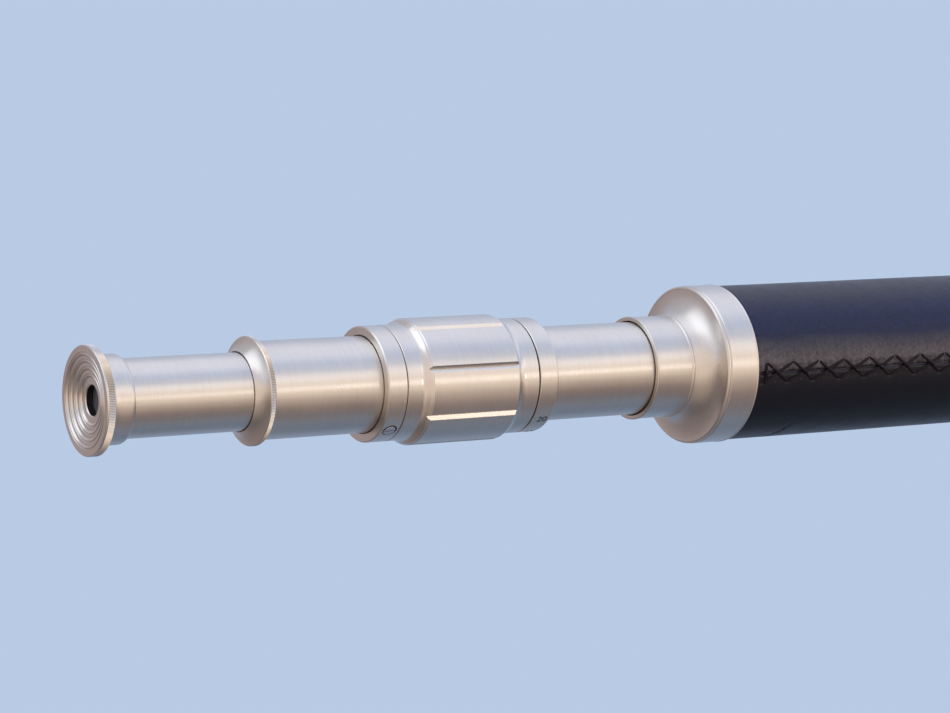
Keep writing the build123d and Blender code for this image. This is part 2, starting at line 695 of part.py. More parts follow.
def objective_cell():
    """Cell that drops into the front ferrule and holds the objective's two lenses."""
    outline = Polyline(
        (OBJECTIVE_SEAT_X - 3, OBJECTIVE_R - 1.5),
        (OBJECTIVE_SEAT_X, OBJECTIVE_R - 1.5),
        (OBJECTIVE_SEAT_X, OBJECTIVE_R + SEAT),
        (CELL_X + 2.5, OBJECTIVE_R + SEAT),
        (CELL_X + 2.5, SHIELD_SEAT_R - 0.6),
        (CELL_X + 2.1, SHIELD_SEAT_R - 0.2),
        (CELL_X, SHIELD_SEAT_R - 0.2),
        (CELL_X, BARREL_BORE - SEAT),
        (OBJECTIVE_SEAT_X - 3, BARREL_BORE - SEAT),
        close=True,
    )
    return turned(outline)


FLINT_EDGE = 4.4
FLINT_BACK_SAG = -0.7
CROWN_EDGE = 5.6
INNER_SAG = 1.5                 # curve of the two sides that face each other
CROWN_FRONT_SAG = 1.3
SPACER = 0.6
FLINT_X = OBJECTIVE_SEAT_X + 0.02
SPACER_X = FLINT_X + FLINT_EDGE + 0.02
CROWN_X = SPACER_X + SPACER + seat_gap(INNER_SAG, OBJECTIVE_R, OBJECTIVE_R - 1)


def flint_lens():
    """Hollow rear lens of the objective."""
    return lens(FLINT_X, FLINT_EDGE, FLINT_BACK_SAG, -INNER_SAG, OBJECTIVE_R)


def lens_spacer():
    """Thin ring that keeps the objective's lenses apart."""
    return tube(SPACER_X, SPACER_X + SPACER, OBJECTIVE_R - 1, OBJECTIVE_R - 0.02)


def crown_lens():
    """Biconvex front lens of the objective."""
    return lens(CROWN_X, CROWN_EDGE, INNER_SAG, CROWN_FRONT_SAG, OBJECTIVE_R)


def objective_retaining_ring():
    """Threaded ring that holds the objective's lenses in their cell."""
    inner = OBJECTIVE_R - 1.6
    start = CROWN_X + CROWN_EDGE + seat_gap(CROWN_FRONT_SAG, OBJECTIVE_R, inner)
    return ring(start, start + 4, inner, OBJECTIVE_R - 0.02, 0.3)


CAP_SEAT_R = SHIELD_SEAT_R + 0.5        # counterbore inside the shield's mouth that a lens cap plugs into
CAP_SEAT_X = CELL_X + 4


def dew_shield():
    """Sliding dew shield with a rolled front edge and a seat for a plug-in lens cap."""
    roll = 1.8
    bore = SHIELD_SEAT_R + 0.08
    start = NECK_X + 0.5
    front_roll = ThreePointArc((SHIELD_END_X - 2 * roll, SHIELD_R), (SHIELD_END_X - roll, SHIELD_R + 0.9),
                               (SHIELD_END_X, SHIELD_R))
    rest = Polyline(
        (SHIELD_END_X, SHIELD_R),
        (SHIELD_END_X, CAP_SEAT_R),
        (CAP_SEAT_X, CAP_SEAT_R),
        (CAP_SEAT_X, bore),
        (start, bore),
        (start, SHIELD_R - 0.4),
        (start + 0.4, SHIELD_R),
        (SHIELD_END_X - 2 * roll, SHIELD_R),
    )
    return turned([front_roll, rest])


# ---- Saddle ----------------------------------------------------------------------------------------

def saddle_screw_places():
    """Centres of the four screws, as offsets in X and Y."""
    return [(sx * SADDLE_SCREW_X, sy * SADDLE_SCREW_Y) for sx in (-1, 1) for sy in (-1, 1)]


def half_band(wall, side):
    """Half of a band round the barrel with two ears; side is 1 for the upper half and -1 for the lower."""
    inner = LEATHER_R + SEAT
    ear = 4.2
    band = tube(-SADDLE_LENGTH / 2, SADDLE_LENGTH / 2, inner, inner + wall)
    ears = Pos(0, 0, side * (0.5 + ear / 2)) * Box(SADDLE_LENGTH, 2 * EAR_REACH, ear)
    ears = fillet(ears.edges().filter_by(Axis.Z), 6)
    keep = Pos(0, 0, side * (0.5 + 40)) * Box(100, 120, 80)
    body = (band & keep) + ears - tube(-SADDLE_LENGTH, SADDLE_LENGTH, 0, inner)
    lacing_relief = Pos(0, 0, LEATHER_R) * Box(SADDLE_LENGTH + 2, STITCH_HEIGHT + 3, 2.6)
    return body - around(lacing_relief, SEAM_ELEVATION)


def saddle():
    """Lower half of the mounting saddle, with its foot and tripod socket."""
    base = (Align.CENTER, Align.CENTER, Align.MIN)
    body = half_band(SADDLE_WALL, -1)
    foot = Box(FOOT_LENGTH, FOOT_WIDTH, AXIS_HEIGHT - LEATHER_R + 8, align=base)
    foot = fillet(foot.edges().filter_by(Axis.Z), 5)
    foot = chamfer(foot.faces().sort_by(Axis.Z)[0].edges(), 0.8)
    body += Pos(0, 0, -AXIS_HEIGHT) * foot
    body -= tube(-SADDLE_LENGTH, SADDLE_LENGTH, 0, LEATHER_R + SEAT)
    body -= Pos(0, 0, -AXIS_HEIGHT) * Cylinder(SOCKET_R, SOCKET_DEPTH, align=base)
    for x, y in saddle_screw_places():
        body -= Pos(x, y, -2.5) * Cylinder(2.0 + SEAT, 8)
    return body


def saddle_strap():
    """Upper half of the saddle, which clamps the barrel."""
    body = half_band(STRAP_WALL, 1)
    for x, y in saddle_screw_places():
        body -= Pos(x, y, 2.5) * Cylinder(2.0 + SEAT, 8)
    return body


def saddle_screws():
    """Four slotted cheese-head screws that clamp the saddle."""
    screws = []
    for x, y in saddle_screw_places():
        shank = Pos(x, y, 0.2) * Cylinder(2.0, 9.2)
        head = Pos(x, y, 4.75 + 1.5) * Cylinder(3.6, 3.0)
        slot = Pos(x, y, 4.75 + 3.0) * Rot(Z=20 + 3 * x) * Box(10, 1.0, 2.4)
        screws.append(shank + head - slot)
    return Compound(screws)


# ---- Export ----------------------------------------------------------------------------------------

PIECES = {
    "eyecup": eyecup,
    "eyepiece_draw_tube": eyepiece_draw_tube,
    "eyepiece_stop_ring": eyepiece_stop_ring,
    "eyepiece_cell": eyepiece_cell,
    "eye_lens": eye_lens,
    "field_stop": field_stop,
    "field_lens": field_lens,
    "field_lens_ring": field_lens_ring,
    "draw_tube_bezel": draw_tube_bezel,
    "eyepiece_guide_bush": eyepiece_guide_bush,
    "main_draw_tube": main_draw_tube,
    "front_collar": front_collar,
    "collar_lock_screw": collar_lock_screw,
    "scale_ring": scale_ring,
    "main_draw_stop_ring": main_draw_stop_ring,
    "main_draw_diaphragm": main_draw_diaphragm,
    "grip_ring": grip_ring,
    "cam_sleeve": cam_sleeve,
    "erector_carrier": erector_carrier,
    "follower_pin": follower_pin,
    "erector_rear_lens": erector_rear_lens,
    "erector_front_lens": erector_front_lens,
    "erector_lens_rings": erector_lens_rings,
    "erector_stop": erector_stop,
    "rear_ferrule": rear_ferrule,
    "draw_guide_tube": draw_guide_tube,
    "barrel_tube": barrel_tube,
    "leather_wrap": leather_wrap,
    "seam_thread": seam_thread,
    "rear_baffle": lambda: barrel_baffle(*REAR_BAFFLE),
    "front_baffle": lambda: barrel_baffle(*FRONT_BAFFLE),
    "front_ferrule": front_ferrule,
    "objective_cell": objective_cell,
    "flint_lens": flint_lens,
    "lens_spacer": lens_spacer,
    "crown_lens": crown_lens,
    "objective_retaining_ring": objective_retaining_ring,
    "dew_shield": dew_shield,
    "saddle": saddle,
    "saddle_strap": saddle_strap,
    "saddle_screws": saddle_screws,
}

os.makedirs("parts", exist_ok=True)
for node, build in PIECES.items():
    shape = Pos(0, 0, AXIS_HEIGHT) * build()
    export_step(shape, f"parts/{node}.step")
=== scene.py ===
import json
import math
import random

import bpy
import mathutils.noise as noise
from mathutils import Matrix, Vector


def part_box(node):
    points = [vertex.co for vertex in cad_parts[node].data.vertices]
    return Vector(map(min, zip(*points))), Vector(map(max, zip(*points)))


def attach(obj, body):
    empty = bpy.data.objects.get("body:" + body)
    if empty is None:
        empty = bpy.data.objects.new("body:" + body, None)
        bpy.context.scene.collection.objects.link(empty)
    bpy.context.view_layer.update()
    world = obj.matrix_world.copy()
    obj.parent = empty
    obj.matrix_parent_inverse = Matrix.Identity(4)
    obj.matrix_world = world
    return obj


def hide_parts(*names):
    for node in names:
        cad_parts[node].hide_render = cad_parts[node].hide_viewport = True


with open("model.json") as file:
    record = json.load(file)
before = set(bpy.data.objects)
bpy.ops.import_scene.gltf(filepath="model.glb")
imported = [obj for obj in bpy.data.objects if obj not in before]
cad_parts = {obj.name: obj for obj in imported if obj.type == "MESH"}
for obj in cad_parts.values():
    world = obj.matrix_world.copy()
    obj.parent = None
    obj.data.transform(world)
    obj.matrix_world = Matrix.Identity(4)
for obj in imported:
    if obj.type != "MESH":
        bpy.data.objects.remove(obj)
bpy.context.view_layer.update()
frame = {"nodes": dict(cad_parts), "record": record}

MM = 0.001
NODES = frame["nodes"]
SLOT_OF = {part["node"]: part["material_slot"] for part in frame["record"]["subparts"]}


# ---- Places read from the frame --------------------------------------------------------------------

def span(node):
    """Where a node starts and ends along the optical axis."""
    low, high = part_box(node)
    return low.x, high.x


def outer_radius(node):
    """Radius of a round node that lies on the optical axis."""
    low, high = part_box(node)
    return (high.y - low.y) / 2


def axis_height():
    """Height of the optical axis above the part's origin."""
    low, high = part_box("main_draw_tube")
    return (low.z + high.z) / 2


AXIS_Z = axis_height()
AXIS = Vector((0, 0, AXIS_Z))


def on_tube(x, elevation, radius):
    """A point beside the axis: elevation in degrees above the horizontal on the near (-Y) side."""
    angle = math.radians(elevation)
    return Vector((x, -radius * math.cos(angle), AXIS_Z + radius * math.sin(angle)))


# ---- Material helpers ------------------------------------------------------------------------------

SMALLEST_RADIUS = 0.01 * MM     # keeps the direction cosines finite on the axis itself


class Nodes:
    """A node tree, with short calls for the nodes that this scene uses."""

    def __init__(self, tree):
        self.tree = tree

    def node(self, kind, **settings):
        """A new node, with its own settings made."""
        made = self.tree.nodes.new("ShaderNode" + kind)
        for key, value in settings.items():
            setattr(made, key, value)
        return made

    def feed(self, socket, value):
        """Links an output to a socket, or sets the socket to a constant; None leaves it alone."""
        if hasattr(value, "is_output"):
            self.tree.links.new(value, socket)
        elif value is not None:
            socket.default_value = value

    def math(self, operation, a, b=None):
        """One step of arithmetic on outputs or numbers."""
        made = self.node("Math", operation=operation)
        self.feed(made.inputs[0], a)
        self.feed(made.inputs[1], b)
        return made.outputs[0]

    def product(self, *factors):
        result = factors[0]
        for factor in factors[1:]:
            result = self.math("MULTIPLY", result, factor)
        return result

    def weighted_sum(self, a, weight_a, b, weight_b):
        return self.math("ADD", self.math("MULTIPLY", a, weight_a), self.math("MULTIPLY", b, weight_b))

    def length(self, a, b):
        """Length of the vector that has these two components."""
        return self.math("SQRT", self.weighted_sum(a, a, b, b))

    def combine(self, x, y, z):
        """A vector from its three components."""
        made = self.node("CombineXYZ")
        for socket, value in zip(made.inputs, (x, y, z)):
            self.feed(socket, value)
        return made.outputs[0]

    def separate(self, vector):
        """The three components of a vector."""
        made = self.node("SeparateXYZ")
        self.feed(made.inputs[0], vector)
        return made.outputs

    def noise(self, vector, scale, detail=2.0, roughness=0.5, w=None, distortion=0.0):
        """Noise with so many features to a metre, or in four dimensions when w is given."""
        made = self.node("TexNoise", noise_dimensions="3D" if w is None else "4D")
        self.feed(made.inputs["Vector"], vector)
        if w is not None:
            self.feed(made.inputs["W"], w)
        made.inputs["Scale"].default_value = scale
        made.inputs["Detail"].default_value = detail
        made.inputs["Roughness"].default_value = roughness
        made.inputs["Distortion"].default_value = distortion
        return made.outputs["Fac"]

    def voronoi(self, vector, scale, feature="F1"):
        """Distance inside cells, with so many cells to a metre."""
        made = self.node("TexVoronoi", feature=feature)
        self.feed(made.inputs["Vector"], vector)
        made.inputs["Scale"].default_value = scale
        return made.outputs["Distance"]

    def rescale(self, value, low, high, new_low, new_high, interpolation="LINEAR"):
        """Carries the range from low to high over to the new one, and stays within it."""
        made = self.node("MapRange", interpolation_type=interpolation)
        self.feed(made.inputs["Value"], value)
        limits = {"From Min": low, "From Max": high, "To Min": new_low, "To Max": new_high}
        for name, number in limits.items():
            made.inputs[name].default_value = number
        return made.outputs["Result"]

    def mix(self, factor, a, b):
        """Colour a where the factor is 0, colour b where it is 1."""
        made = self.node("Mix", data_type="RGBA")
        self.feed(made.inputs["Factor"], factor)
        self.feed(made.inputs["A"], a)
        self.feed(made.inputs["B"], b)
        return next(socket for socket in made.outputs if socket.type == "RGBA")

    def bump(self, height, strength, distance, below=None):
        """A normal raised by height, on top of the normal below."""
        made = self.node("Bump")
        made.inputs["Strength"].default_value = strength
        made.inputs["Distance"].default_value = distance
        self.feed(made.inputs["Height"], height)
        self.feed(made.inputs["Normal"], below)
        return made.outputs["Normal"]


class Shader(Nodes):
    """A new material, whose look is fed into its surface with set()."""

    def __init__(self, name):
        self.material = bpy.data.materials.new(name)
        self.material.use_nodes = True
        super().__init__(self.material.node_tree)
        self.surface = self.tree.nodes["Principled BSDF"]

    def set(self, socket_name, value):
        """Feeds one of the surface's inputs."""
        self.feed(self.surface.inputs[socket_name], value)

    def place(self):
        """Object coordinates, measured from the optical axis."""
        made = self.node("VectorMath", operation="SUBTRACT")
        self.feed(made.inputs[0], self.node("TexCoord").outputs["Object"])
        made.inputs[1].default_value = AXIS
        return made.outputs[0]

    def lathe(self):
        """Place along the axis, radius, and the two direction cosines round the axis."""
        x, y, z = self.separate(self.place())
        radius = self.math("MAXIMUM", self.length(y, z), SMALLEST_RADIUS)
        return x, radius, self.math("DIVIDE", y, radius), self.math("DIVIDE", z, radius)


def colour(red, green, blue):
    """An opaque colour."""
    return (red, green, blue, 1.0)


# ---- Materials -------------------------------------------------------------------------------------

# near black: the blackened wall of the eye hole, and the painted shade in the gap round the collar's screw
# head
BLACK_AND_PAINTED_SHADE = colour(0.006, 0.006, 0.007)
EYE_HOLE_R = 6.5 * MM
FLUTE_SHEEN = -0.12             # change of roughness inside the milled flutes
FLUTE_MARGIN = 0.1              # plain ends of the grip, each as a share of its length
FLUTE_LIP = 0.08 * MM           # how far below the lands a flute's surface begins
GAP_INSIDE = 0.12 * MM          # the painted shade in the screw's gap, inside and outside the edge of its head
GAP_OUTSIDE = 0.56 * MM
GAP_FADE = 1.2 * MM             # how far below the middle of the head the painted shade fades
LATHE_LINE = 0.22 * MM          # width of the fine lines that the lathe leaves
LATHE_BAND = 6 * LATHE_LINE     # width of the paler and darker bands of such lines
LINE_RUN = 1.6                  # how often a line breaks up on its way round
QUARTER_TURN = 0.25


def milled_flutes(shader, x, radius):
    """1 inside the grip's milled flutes, 0 on its turned lands."""
    start, end = span("grip_ring")
    margin = (end - start) * FLUTE_MARGIN
    deep = shader.math("LESS_THAN", radius, outer_radius("grip_ring") - FLUTE_LIP)
    return shader.product(shader.math("GREATER_THAN", x, start + margin),
                          shader.math("LESS_THAN", x, end - margin), deep)


def blacked_eye_hole(shader, x, radius):
    """1 on the wall of the eyecup's eye hole, which is blacked against glare."""
    end = span("eyecup")[1]
    inside = shader.math("LESS_THAN", radius, EYE_HOLE_R + 0.1 * MM)
    return shader.product(inside, shader.math("LESS_THAN", x, end))


def painted_screw_gap_shade(shader):
    """1 in the upper part of the gap round the collar's screw head, where a shadow is painted, and fainter
    below it.
    """
    low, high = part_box("collar_lock_screw")
    middle = (low + high) / 2
    head_r = (high.x - low.x) / 2
    outward = Vector((0, middle.y, middle.z - AXIS_Z)).normalized()
    x, y, z = shader.separate(shader.place())
    along = shader.weighted_sum(y, outward.y, z, outward.z)
    rise = shader.weighted_sum(z, -outward.y, y, outward.z)
    distance = shader.length(shader.math("SUBTRACT", x, middle.x), rise)
    return shader.product(shader.math("GREATER_THAN", distance, head_r - GAP_INSIDE),
                          shader.math("LESS_THAN", distance, head_r + GAP_OUTSIDE),
                          shader.math("GREATER_THAN", along, 0.0),
                          shader.rescale(rise, -GAP_FADE, 0.0, 0.25, 1.0))


def lathe_noise(shader, x, radius, side, up, width, run, detail, roughness):
    """Noise as fine as the given width along the axis and outwards, and drawn out round the axis."""
    vector = shader.combine(shader.math("DIVIDE", x, width), shader.math("MULTIPLY", side, run),
                            shader.math("MULTIPLY", up, run))
    outwards = shader.math("DIVIDE", radius, width)
    return shader.noise(vector, 1.0, detail=detail, roughness=roughness, w=outwards)


def black_and_shaded_metal(shader, metal, black_and_shade):
    """Bare metal of the given colour, with none of it showing where the mask is 1: the eye hole's
    blackened wall, and the painted shade round the screw head.
    """
    shader.set("Base Color", shader.mix(black_and_shade, metal, BLACK_AND_PAINTED_SHADE))
    shader.set("Metallic", shader.math("SUBTRACT", 1.0, black_and_shade))


def turned_metal(name, base, dark, low_roughness, high_roughness, anisotropy):
    """Metal finished on a lathe: fine lines run round the axis, so highlights stretch along it."""
    shader = Shader(name)
    x, radius, side, up = shader.lathe()
    lines = lathe_noise(shader, x, radius, side, up, LATHE_LINE, LINE_RUN, 3.0, 0.6)
    bands = lathe_noise(shader, x, radius, side, up, LATHE_BAND, 1.0, 2.0, 0.5)
    clouds = shader.noise(shader.place(), 45.0, detail=4.0, roughness=0.6)
    tint = shader.weighted_sum(lines, 0.5, clouds, 0.5)
    tint = shader.weighted_sum(tint, 1.0, shader.math("SUBTRACT", bands, 0.5), 0.35)
    metal = shader.mix(shader.rescale(tint, 0.3, 0.7, 0.0, 1.0), colour(*dark), colour(*base))
    # the eye hole's blackened wall, and painted shade in the gap round the screw head
    black_and_shade = shader.math("MAXIMUM", blacked_eye_hole(shader, x, radius), painted_screw_gap_shade(shader))
    black_and_shaded_metal(shader, metal, black_and_shade)
    rough = shader.weighted_sum(lines, 0.6, clouds, 0.4)
    rough = shader.rescale(rough, 0.3, 0.7, low_roughness, high_roughness)
    shader.set("Roughness", shader.weighted_sum(rough, 1.0, milled_flutes(shader, x, radius), FLUTE_SHEEN))
    shader.set("Normal", shader.bump(lines, 0.10, 0.02 * MM))
    shader.set("Anisotropic", anisotropy)
    shader.set("Anisotropic Rotation", QUARTER_TURN)
    shader.set("Tangent", shader.node("Tangent", direction_type="RADIAL", axis="X").outputs[0])
    return shader.material


def cast_metal(name, base, dark, roughness):
    """Milled or drilled metal that wasn't turned: satin, with faint clouds and scratches."""
    shader = Shader(name)
    place = shader.place()
    clouds = shader.noise(place, 120.0, detail=5.0, roughness=0.65)
    scratches = shader.noise(place, 900.0, detail=2.0, roughness=0.5, distortion=2.0)
    metal = shader.mix(shader.rescale(clouds, 0.35, 0.65, 0.0, 1.0), colour(*dark), colour(*base))
    # painted shade in the gap round the screw head
    black_and_shaded_metal(shader, metal, painted_screw_gap_shade(shader))
    shader.set("Roughness", shader.rescale(scratches, 0.3, 0.7, roughness - 0.06, roughness + 0.08))
    shader.set("Normal", shader.bump(scratches, 0.12, 0.03 * MM))
    return shader.material


def black_paint(name):
    """Matt optical black inside cells and stops, and the wax in the scale's figures."""
    shader = Shader(name)
    grain = shader.noise(shader.place(), 2500.0, detail=3.0)
    shader.set("Base Color", shader.mix(grain, colour(0.008, 0.008, 0.009), colour(0.03, 0.03, 0.033)))
    shader.set("Roughness", shader.rescale(grain, 0.3, 0.7, 0.5, 0.7))
    shader.set("Normal", shader.bump(grain, 0.2, 0.04 * MM))
    return shader.material


def hide_colour(shader, place, side, up):
    """Blue-black above and painted black below as shade, with a painted grey sheen on the crown, a painted
    tan-grey reflection above the seam, a painted pale reflection underneath, and stains along the lacing.

    Heights on the hide are sines of the elevation, from -1 underneath to 1 on top.
    """
    clouds = shader.noise(place, 16.0, detail=3.0, roughness=0.6)
    blotches = shader.noise(place, 420.0, detail=3.0, roughness=0.6)
    flecks = shader.noise(place, 1100.0, detail=2.0, roughness=0.6)
    ragged = shader.math("ADD", up, shader.rescale(clouds, 0.3, 0.7, -0.06, 0.06))
    near_side = shader.rescale(side, -0.2, 0.2, 1.0, 0.0)
    # painted light and shade: navy on top, painted near black on the underside as if in shadow
    painted_top_light = shader.rescale(ragged, 0.0, 0.5, 0.0, 1.0)
    base = shader.mix(painted_top_light, colour(0.003, 0.006, 0.018), colour(0.012, 0.021, 0.082))
    # painted sheen: the crown of the hide is painted greyer and lighter
    painted_crown_sheen = shader.rescale(ragged, 0.75, 0.95, 0.0, 0.7)
    base = shader.mix(painted_crown_sheen, base, colour(0.038, 0.036, 0.052))
    # painted reflection: a tan-grey strip above the seam, on the near side, in place of the warm light's
    # reflection
    painted_tan_reflection = shader.product(shader.rescale(ragged, -0.07, -0.02, 0.0, 1.0),
                                  shader.rescale(ragged, 0.12, 0.42, 1.0, 0.0), near_side)
    base = shader.mix(painted_tan_reflection, base, colour(0.124, 0.115, 0.135))
    stains = shader.rescale(blotches, 0.4, 0.75, 0.0, 0.5)
    base = shader.mix(stains, base, colour(0.010, 0.008, 0.014))
    # painted reflection: the underside is painted paler and bluer
    painted_underside_reflection = shader.rescale(ragged, -0.97, -0.8, 1.0, 0.0)
    base = shader.mix(painted_underside_reflection, base, colour(0.035, 0.050, 0.090))
    by_seam = shader.product(shader.rescale(up, -0.20, -0.15, 0.0, 1.0),
                             shader.rescale(up, 0.03, 0.08, 1.0, 0.0), near_side)
    seam_stains = shader.product(by_seam, shader.rescale(blotches, 0.35, 0.6, 0.2, 0.8))
    base = shader.mix(seam_stains, base, colour(0.018, 0.010, 0.018))
    wax_flecks = shader.product(by_seam, shader.rescale(flecks, 0.64, 0.72, 0.0, 0.9))
    return shader.mix(wax_flecks, base, colour(0.22, 0.18, 0.21))


def black_hide(name):
    """Smooth hide with a fine pebble grain, pores and shallow creases."""
    shader = Shader(name)
    place = shader.place()
    side, up = shader.lathe()[2:]
    pebbles = shader.voronoi(place, 1500.0)
    pores = shader.voronoi(place, 700.0, feature="DISTANCE_TO_EDGE")
    creases = shader.noise(place, 130.0, detail=6.0, roughness=0.7, distortion=0.6)
    in_pores = shader.rescale(pores, 0.0, 0.12, 0.4, 0.0)
    shader.set("Base Color",
               shader.mix(in_pores, hide_colour(shader, place, side, up), colour(0.002, 0.002, 0.004)))
    shader.set("Roughness", shader.rescale(creases, 0.2, 0.8, 0.30, 0.46))
    coarse = shader.bump(creases, 0.16, 0.20 * MM)
    fine = shader.bump(pebbles, 0.16, 0.06 * MM, below=coarse)
    raised = shader.rescale(pores, 0.0, 0.1, 0.0, 1.0)
    shader.set("Normal", shader.bump(raised, 0.14, 0.05 * MM, below=fine))
    shader.set("Specular IOR Level", 0.34)
    return shader.material


def waxed_thread(name):
    """Nearly black waxed thread with short fibres and pale flecks, partly old wax and partly painted
    glints.
    """
    shader = Shader(name)
    place = shader.place()
    fibres = shader.noise(place, 5200.0, detail=3.0, roughness=0.7)
    clouds = shader.noise(place, 180.0, detail=2.0)
    flecks = shader.noise(place, 900.0, detail=2.0, roughness=0.6)
    base = shader.mix(shader.rescale(clouds, 0.35, 0.65, 0.0, 1.0), colour(0.003, 0.002, 0.005),
                      colour(0.014, 0.008, 0.016))
    # pale flecks: partly old wax, partly painted glints
    wax_and_painted_glints = shader.rescale(flecks, 0.66, 0.74, 0.0, 0.8)
    shader.set("Base Color", shader.mix(wax_and_painted_glints, base, colour(0.20, 0.17, 0.20)))
    shader.set("Roughness", shader.rescale(fibres, 0.3, 0.7, 0.34, 0.55))
    shader.set("Normal", shader.bump(fibres, 0.3, 0.06 * MM))
    shader.set("Specular IOR Level", 0.22)
    return shader.material


def coated_glass(name):
    """Coated lens glass with a faint cool cast and specks of dust; the eye lens is hazier."""
    shader = Shader(name)
    x = shader.lathe()[0]
    dust = shader.noise(shader.place(), 700.0, detail=6.0, roughness=0.8)
    eye_lens_end = span("eye_lens")[1]
    clear = shader.rescale(x, eye_lens_end, eye_lens_end + 1 * MM, 0.78, 1.0)
    shader.set("Roughness", shader.rescale(dust, 0.6, 0.9, 0.01, 0.12))
    shader.set("Base Color", colour(0.72, 0.80, 0.95))
    shader.set("Transmission Weight", clear)
    shader.set("IOR", 1.68)
    shader.set("Coat Weight", 1.0)
    shader.set("Coat Roughness", 0.02)
    return shader.material


def make_materials():
    """One material for each slot of the record."""
    return {
        "satin_metal": turned_metal("satin_metal", (0.80, 0.765, 0.725), (0.71, 0.675, 0.635),
                                    0.24, 0.36, 0.75),
        "bare_brass": turned_metal("bare_brass", (0.80, 0.60, 0.30), (0.68, 0.48, 0.22), 0.22, 0.34, 0.6),
        "screw_metal": cast_metal("screw_metal", (0.80, 0.79, 0.80), (0.68, 0.66, 0.66), 0.34),
        "blackened": black_paint("blackened"),
        "leather": black_hide("leather"),
        "thread": waxed_thread("thread"),
        "lens_glass": coated_glass("lens_glass"),
    }


def dress_cad(materials):
    """Gives every CAD node the material of its slot."""
    for name, obj in NODES.items():
        obj.data.materials.clear()
        obj.data.materials.append(materials[SLOT_OF[name]])


# ---- Leather sheath --------------------------------------------------------------------------------

SEAM_ELEVATION = -3.0           # degrees above the horizontal, on the near side
STITCH_PITCH = 15.1 * MM
STITCH_HEIGHT = 9.4 * MM
FIRST_HOLE = 4.8 * MM           # first upper hole, from the start of the leather
HOLE_SHEAR = -0.2               # the lower holes lag behind the upper ones, as a share of the pitch
HOLE_R = 0.65 * MM
HOLE_DEPTH = 0.45 * MM
PUCKER_R = 2.2 * MM             # hollow that the pull of the thread makes round a hole
PUCKER_DEPTH = 0.10 * MM
HOLE_REACH = 4 * MM             # how far a hole is felt in the hide
SEAM_WANDER = 0.25 * MM         # how far the seam strays from its line
SEAM_DEPTH = 0.75 * MM
SEAM_HALF_WIDTH = 0.25 * MM
SEAM_GAPE = 0.45 * MM           # what the half width gains where the seam stands open
LIP_HEIGHT = 0.14 * MM          # raised edges on both sides of the seam
LIP_OFFSET = 1.8 * MM
LIP_WIDTH = 1.0 * MM
WANDERS = 90                    # swings of the seam from side to side, to a metre
SWELL = 0.07 * MM               # long unevenness of the hide
SWELLS = (28, 40)               # to a metre, along the hide and round it
GRAIN = 0.03 * MM               # short unevenness
GRAINS = 160                    # to a metre
TUCK_DEPTH = 0.45 * MM          # the ends dip under the ferrules
TUCK_WIDTH = 0.7 * MM


def seam_holes():
    """Places of the lacing holes along the axis: the upper row and the lower row."""
    start, end = span("leather_wrap")
    upper = []
    x = start + FIRST_HOLE
    while x < end - FIRST_HOLE:
        upper.append(x)
        x += STITCH_PITCH
    lower = [x + (1 + HOLE_SHEAR) * STITCH_PITCH for x in upper[:-1]]
    return upper, [upper[0] + HOLE_SHEAR * STITCH_PITCH] + lower


def bell(distance, width):
    """A bump of height 1 that falls to about a third at the given width."""
    return math.exp(-(distance / width) ** 2)


# A crease underneath, close to the rear ferrule; its two ends, each along the hide and round it
CREASE_FROM = (17.0 * MM, -56.0 * MM)
CREASE_TO = (28.0 * MM, -31.0 * MM)
CREASE_WIDTH = 0.42 * MM
CREASE_DEPTH = 0.85 * MM
CREASE_BOW = 1.6 * MM
CREASE_FADE = 0.1               # how far it runs out past each end, as a share of its length
CREASE_RISE = 4                 # how fast it grows to full depth from there


def crease(along, arc):
    """1 in the bottom of the crease, falling to 0 beside it and past its ends."""
    ahead = (CREASE_TO[0] - CREASE_FROM[0], CREASE_TO[1] - CREASE_FROM[1])
    length = math.hypot(*ahead)
    offset = (along - CREASE_FROM[0], arc - CREASE_FROM[1])
    share = (offset[0] * ahead[0] + offset[1] * ahead[1]) / length ** 2
    if not -CREASE_FADE < share < 1 + CREASE_FADE:
        return 0.0
    bow = CREASE_BOW * math.sin(math.pi * min(1, max(0, share)))
    aside = (offset[0] * ahead[1] - offset[1] * ahead[0]) / length - bow
    fade = min(1.0, CREASE_RISE * min(share + CREASE_FADE, 1 + CREASE_FADE - share))
    return fade * bell(aside, CREASE_WIDTH)


def seam_height(x, arc, start):
    """Groove of the butt seam, widest beside each upper hole, with its raised lips."""
    aside = arc - SEAM_WANDER * noise.noise(Vector((x * WANDERS, 3.1, 0)))
    gape = 0.55 + 0.45 * math.cos(2 * math.pi * (x - start - FIRST_HOLE) / STITCH_PITCH)
    groove = SEAM_DEPTH * bell(aside, SEAM_HALF_WIDTH + SEAM_GAPE * gape)
    return LIP_HEIGHT * bell(abs(aside) - LIP_OFFSET, LIP_WIDTH) - groove


def hole_height(x, arc, holes):
    """The lacing holes near a place, each with the pucker round it."""
    height = 0.0
    for hole_x, hole_arc in holes:
        distance = math.hypot(x - hole_x, arc - hole_arc)
        if distance < HOLE_REACH:
            height -= HOLE_DEPTH * bell(distance, HOLE_R)
            height -= PUCKER_DEPTH * bell(distance, PUCKER_R)
    return height


def leather_height(x, arc, start, end, holes):
    """How far the hide stands off its plain cylinder; arc is the distance round it from the seam."""
    height = seam_height(x, arc, start) + hole_height(x, arc, holes)
    height -= CREASE_DEPTH * crease(x - start, arc)
    height += SWELL * noise.noise(Vector((x * SWELLS[0], arc * SWELLS[1], 0)))
    height += GRAIN * noise.noise(Vector((x * GRAINS, arc * GRAINS, 7)))
    return height - TUCK_DEPTH * bell(min(x - start, end - x), TUCK_WIDTH)


FINE_STEP = 0.28 * MM           # between the mesh's points at the seam
FINE_REACH = 8.4 * MM
COARSE_STEPS = 330              # round the rest of the hide
LENGTH_STEP = 1.0 * MM


